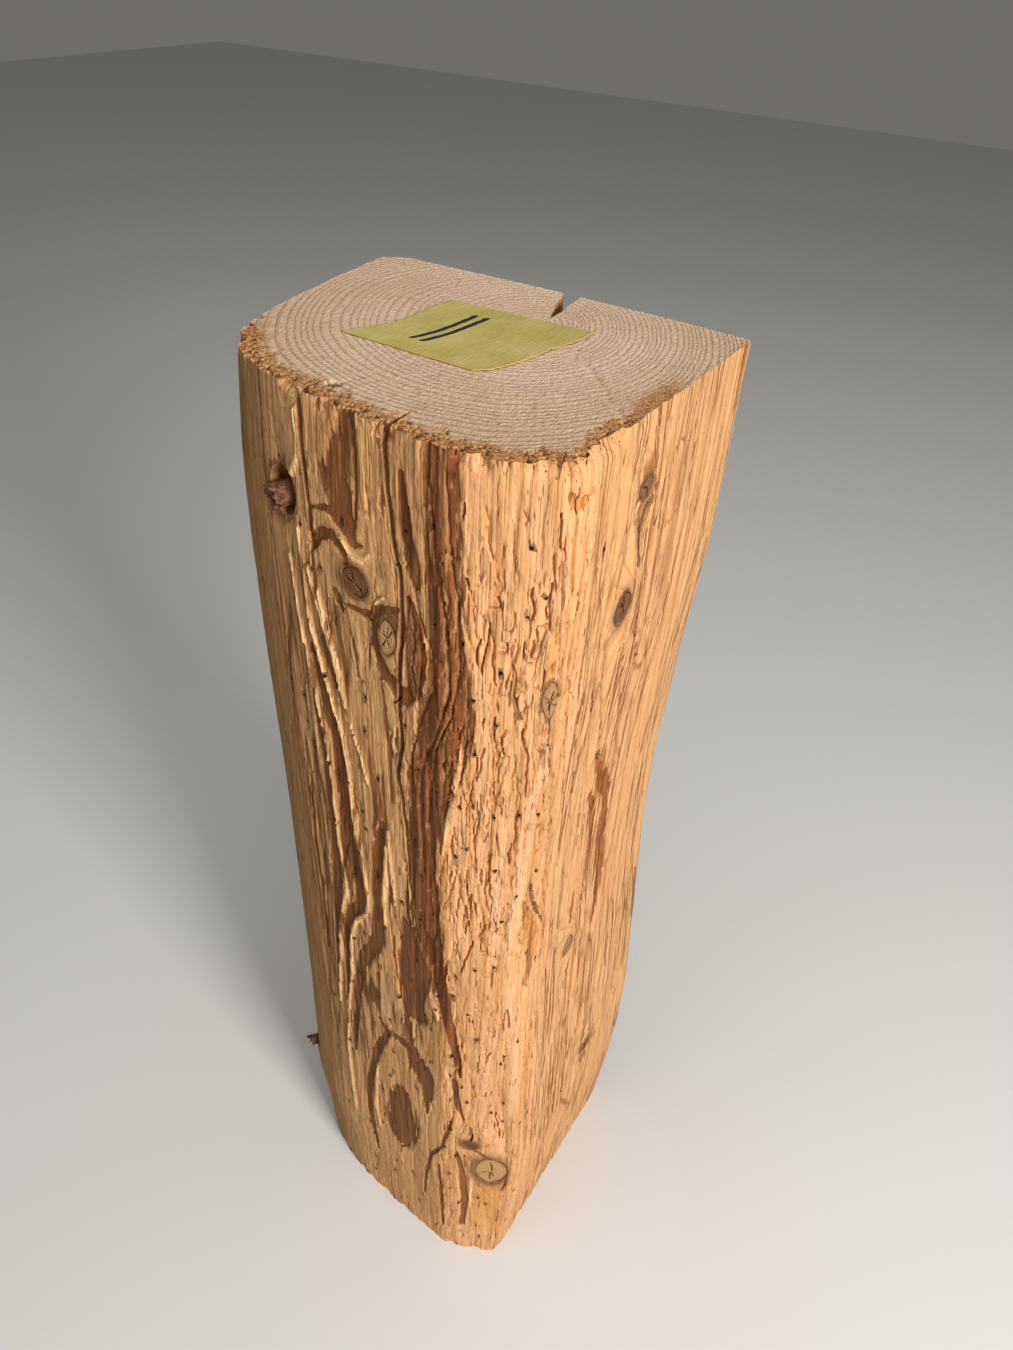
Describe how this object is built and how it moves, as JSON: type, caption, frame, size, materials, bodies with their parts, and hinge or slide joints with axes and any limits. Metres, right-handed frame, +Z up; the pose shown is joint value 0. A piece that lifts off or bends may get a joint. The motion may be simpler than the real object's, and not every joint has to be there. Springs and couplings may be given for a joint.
{
  "type": "timber post offcut",
  "caption": "Offcut of an old, worm-eaten softwood post, sawn on its back and right faces and waney at the front, with dead knots, broken branches and a tape label.",
  "frame": {"origin": "middle of the post's base, on the surface it stands on", "axes": "+Z up along the grain, +Y out of the sawn back face with the heart check, +X out of the sawn right face"},
  "size_m": [0.1579, 0.1329, 0.4907],
  "materials": {
    "aged_softwood": "bare, aged, worm-eaten softwood, matt",
    "knot_wood": "dark dense knot wood, planed smooth",
    "bark": "red-brown ingrown bark",
    "branch_wood": "torn, fibrous branch wood",
    "paper_tape": "olive-yellow creped paper tape"
  },
  "bodies": {
    "root": {"timber": "aged_softwood", "knot_front_split": "knot_wood", "knot_front_pale": "knot_wood", "knot_right_upper": "knot_wood", "knot_right_lower": "knot_wood", "knot_corner_grey": "knot_wood", "knot_right_middle": "knot_wood", "knot_right_base": "knot_wood", "knot_base_dark": "knot_wood", "knot_base_round": "knot_wood", "knot_back_upper": "knot_wood", "knot_back_lower": "knot_wood", "knot_left_upper": "knot_wood", "bark_pocket": "bark", "branch_stub_upper": "branch_wood", "branch_stub_lower": "branch_wood", "tape_label": "paper_tape"}
  },
  "joints": []
}
